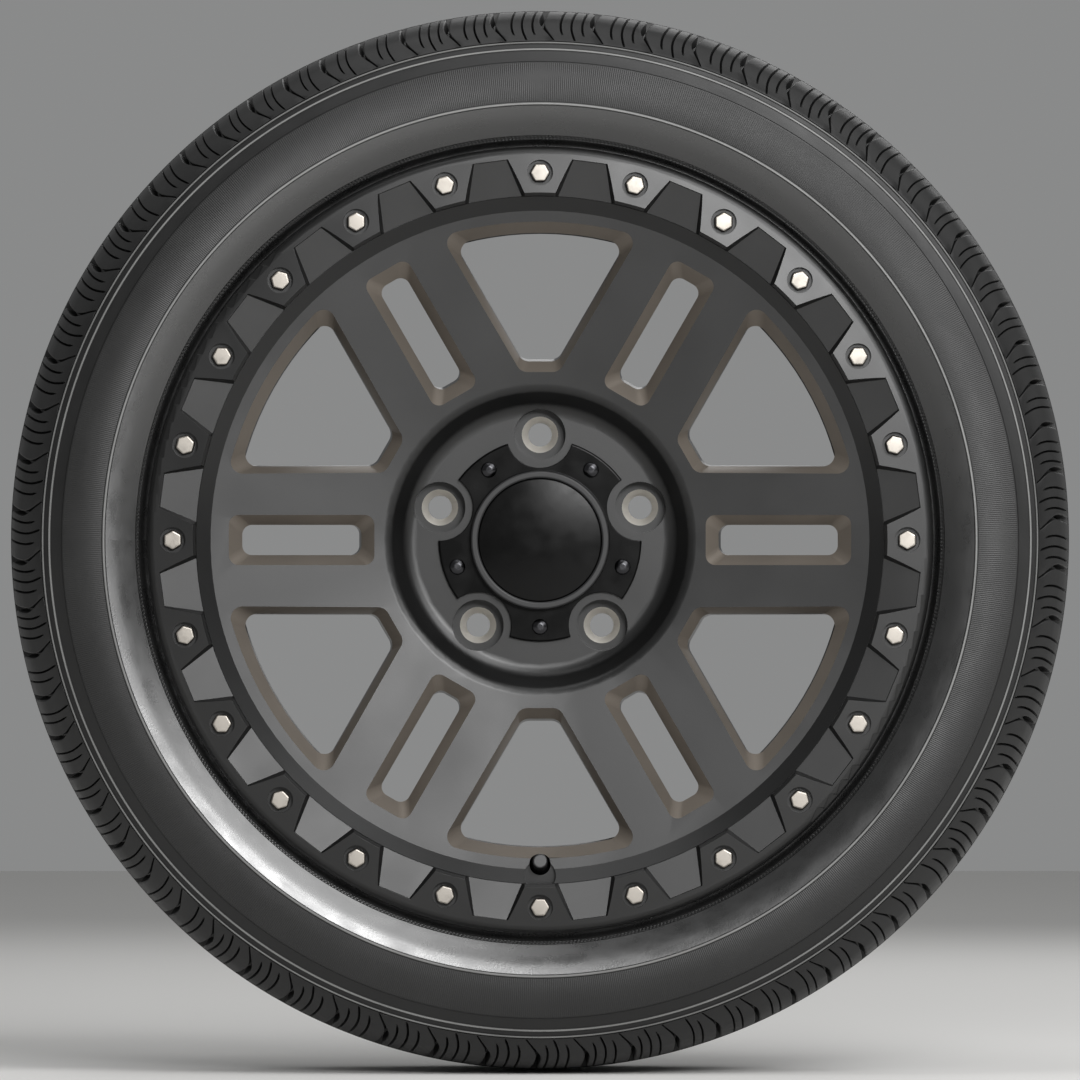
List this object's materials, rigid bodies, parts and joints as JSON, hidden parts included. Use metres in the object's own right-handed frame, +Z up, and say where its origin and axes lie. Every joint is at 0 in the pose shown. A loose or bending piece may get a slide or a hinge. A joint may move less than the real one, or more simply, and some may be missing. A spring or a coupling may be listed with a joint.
{
  "type": "car wheel with tyre",
  "caption": "Road tyre on a cast alloy car wheel with slotted spokes, a bolted rim ring, a centre cap and a snap-in valve.",
  "frame": {"origin": "wheel centre, where the axle line crosses the middle plane of the tyre", "axes": "+Y along the axle line towards the car, so the outboard face looks along -Y; +Z up, with the valve at the bottom"},
  "size_m": [0.7045, 0.233, 0.7046],
  "materials": {
    "tyre": "matte",
    "alloy": "satin",
    "ring_alloy": "satin",
    "bolt_steel": "satin",
    "cap_plastic": "gloss",
    "screw_steel": "satin",
    "valve_rubber": "matte",
    "valve_brass": "satin",
    "valve_cap_plastic": "matte"
  },
  "bodies": {
    "wheel_and_tyre": {"tyre": "tyre", "wheel": "alloy", "rim_ring": "ring_alloy", "ring_bolts": "bolt_steel", "cap_flange": "cap_plastic", "cap_disc": "cap_plastic", "cap_screws": "screw_steel", "valve_body": "valve_rubber", "valve_tube": "valve_brass", "valve_core": "valve_brass"},
    "valve_cap": {"valve_cap": "valve_cap_plastic"},
    "valve_pin": {"valve_pin": "valve_brass"}
  },
  "joints": [
    {"name": "valve_cap_lift", "type": "slide", "parent": "wheel_and_tyre", "child": "valve_cap", "axis": [0, -0.9848, 0.1736], "range_m": [0, 0.016]},
    {"name": "valve_pin_press", "type": "slide", "parent": "wheel_and_tyre", "child": "valve_pin", "axis": [0, -0.9848, 0.1736], "range_m": [-0.0012, 0], "stiffness_N_per_m": 500}
  ]
}
